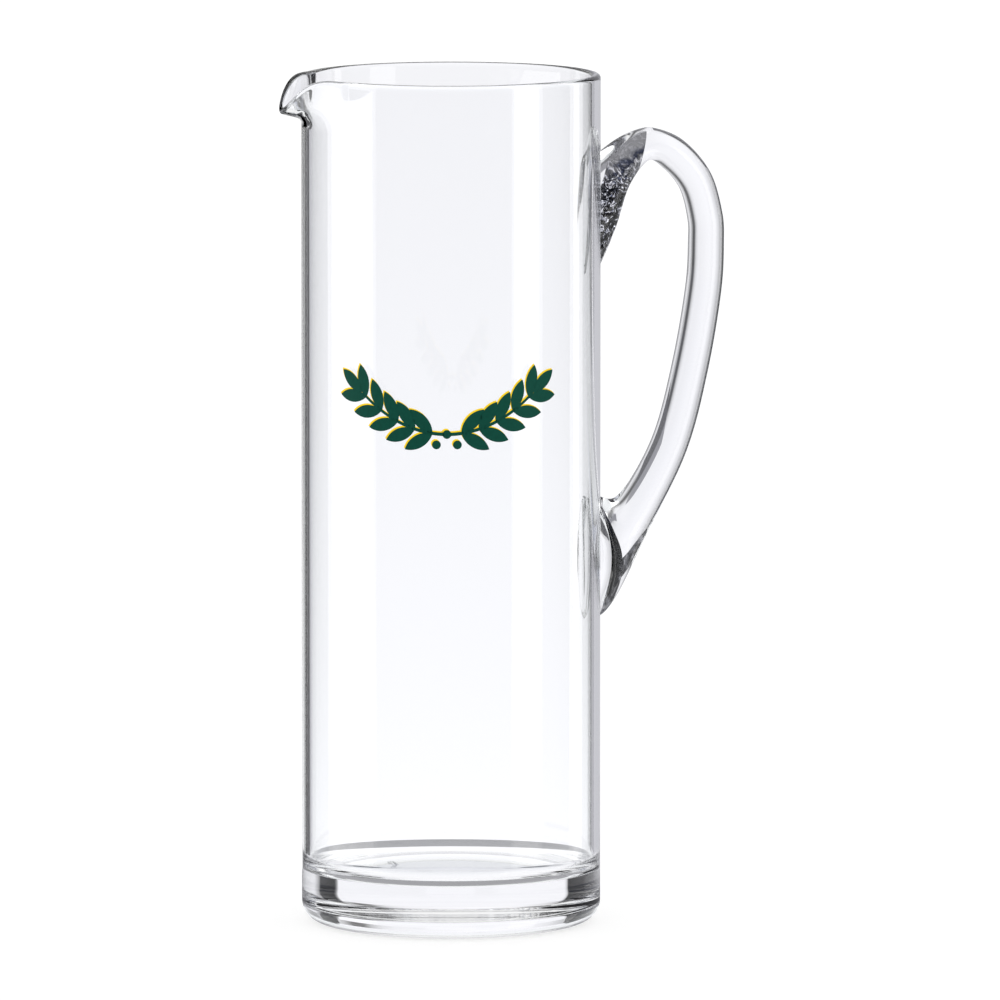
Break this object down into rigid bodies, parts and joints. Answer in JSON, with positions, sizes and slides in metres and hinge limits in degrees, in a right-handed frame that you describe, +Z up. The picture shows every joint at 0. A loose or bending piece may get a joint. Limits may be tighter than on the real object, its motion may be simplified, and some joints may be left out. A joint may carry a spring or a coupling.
{
  "type": "pitcher",
  "caption": "Tall clear glass pitcher with a straight cylindrical body, a heavy base, a pulled pouring lip and a solid glass handle fused to the wall.",
  "frame": {"origin": "under the middle of the outline from the lip to the handle, on the plane that the pitcher stands on", "axes": "+Z up along the body's axis, +X towards the handle, the lip points along -X"},
  "size_m": [0.1458, 0.095, 0.2705],
  "materials": {
    "clear_glass": "fire-polished, clear and colourless"
  },
  "bodies": {
    "root": {"glass_body": "clear_glass", "glass_handle": "clear_glass"}
  },
  "joints": []
}
